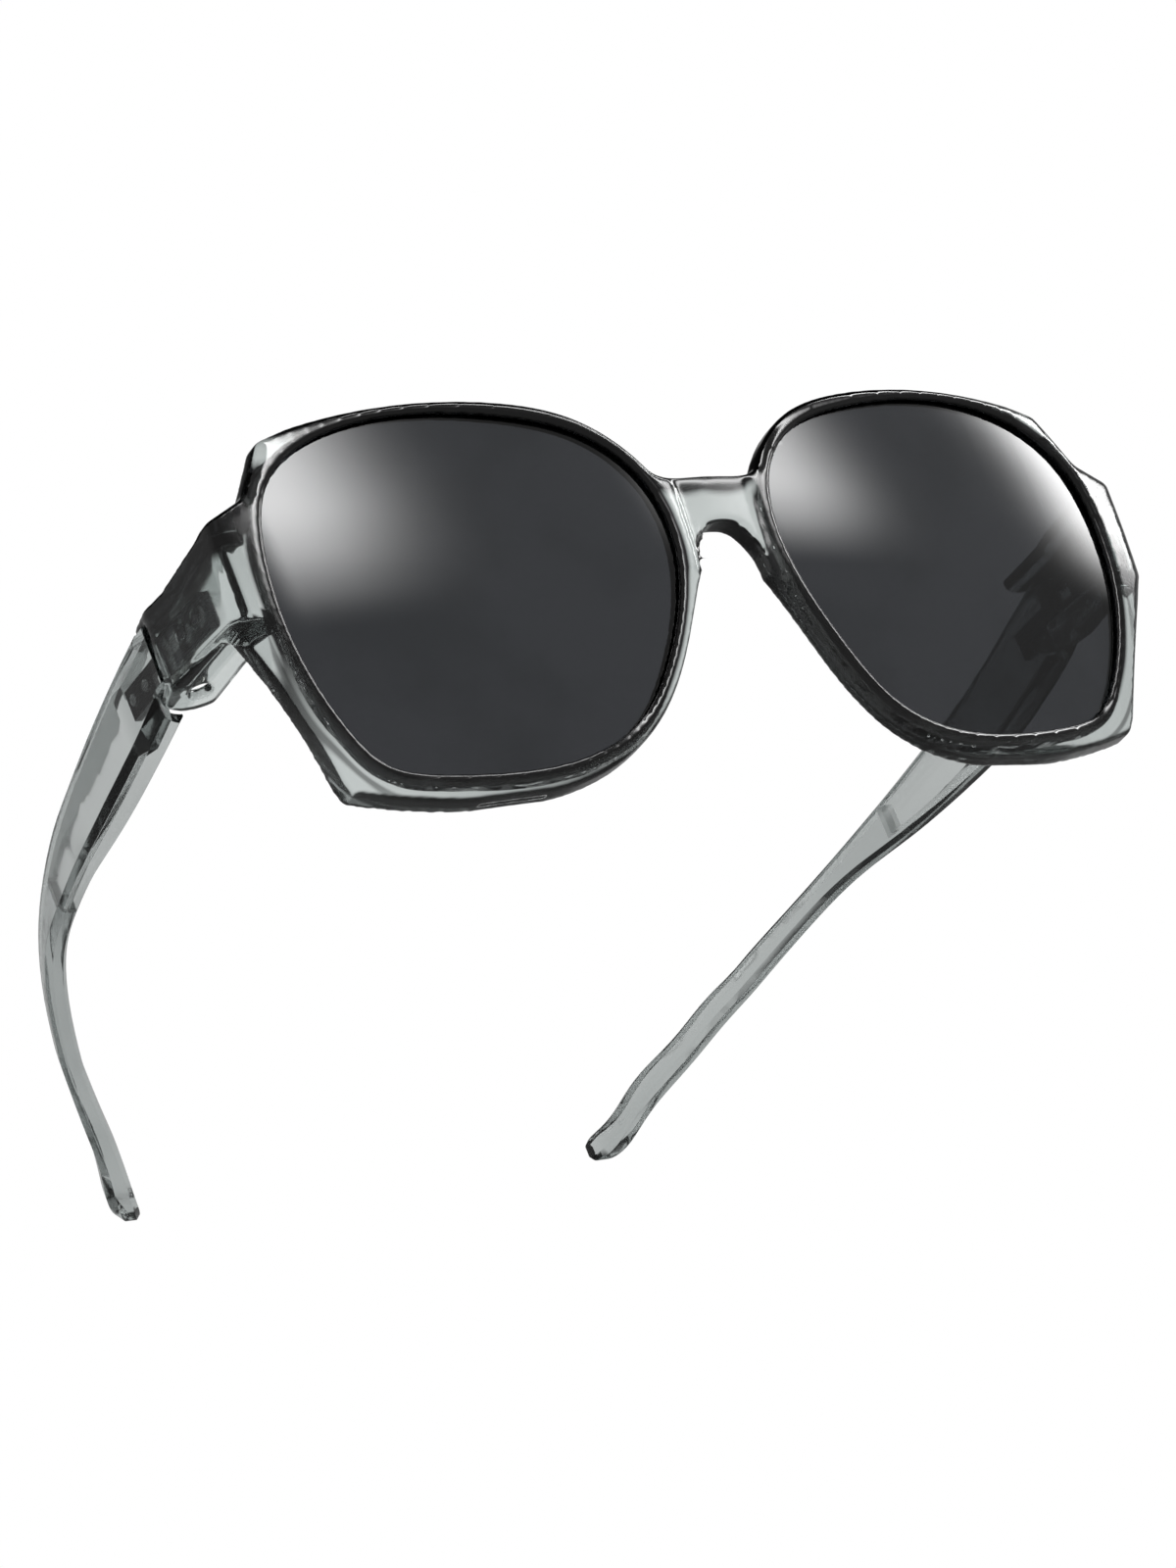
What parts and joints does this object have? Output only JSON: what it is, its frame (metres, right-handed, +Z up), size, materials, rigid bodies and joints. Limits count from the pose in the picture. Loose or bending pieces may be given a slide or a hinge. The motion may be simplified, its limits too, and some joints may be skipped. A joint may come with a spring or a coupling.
{
  "type": "fitover sunglasses",
  "caption": "Wide sunglasses worn over other glasses: one-piece smoke front, tinted lenses, and channel-section temples that fold on metal hinges.",
  "frame": {"origin": "under the middle of the glasses, on the surface that the rims and temple tips stand on", "axes": "+Z up, the front faces -Y, the temples run towards +Y, the wearer's left is +X"},
  "size_m": [0.1552, 0.1287, 0.0538],
  "materials": {
    "smoke_plastic": "polished translucent smoke grey moulding",
    "tinted_lens": "dark grey polarised lens, hard coated",
    "hinge_metal": "bare nickel silver",
    "screw_steel": "bright steel"
  },
  "bodies": {
    "front": {"frame_front": "smoke_plastic", "lens_left": "tinted_lens", "lens_right": "tinted_lens", "hinge_front_leaf_left": "hinge_metal", "hinge_front_leaf_right": "hinge_metal", "hinge_screw_left": "screw_steel", "hinge_screw_right": "screw_steel"},
    "left_temple": {"temple_left": "smoke_plastic", "hinge_temple_leaf_left": "hinge_metal"},
    "right_temple": {"temple_right": "smoke_plastic", "hinge_temple_leaf_right": "hinge_metal"}
  },
  "joints": [
    {"name": "left_temple_fold", "type": "hinge", "parent": "front", "child": "left_temple", "pos_m": [0.0724, -0.0398, 0.0315], "axis": [0, 0, 1], "range_deg": [0, 75]},
    {"name": "right_temple_fold", "type": "hinge", "parent": "front", "child": "right_temple", "pos_m": [-0.0724, -0.0398, 0.0315], "axis": [0, 0, -1], "range_deg": [0, 69]}
  ]
}
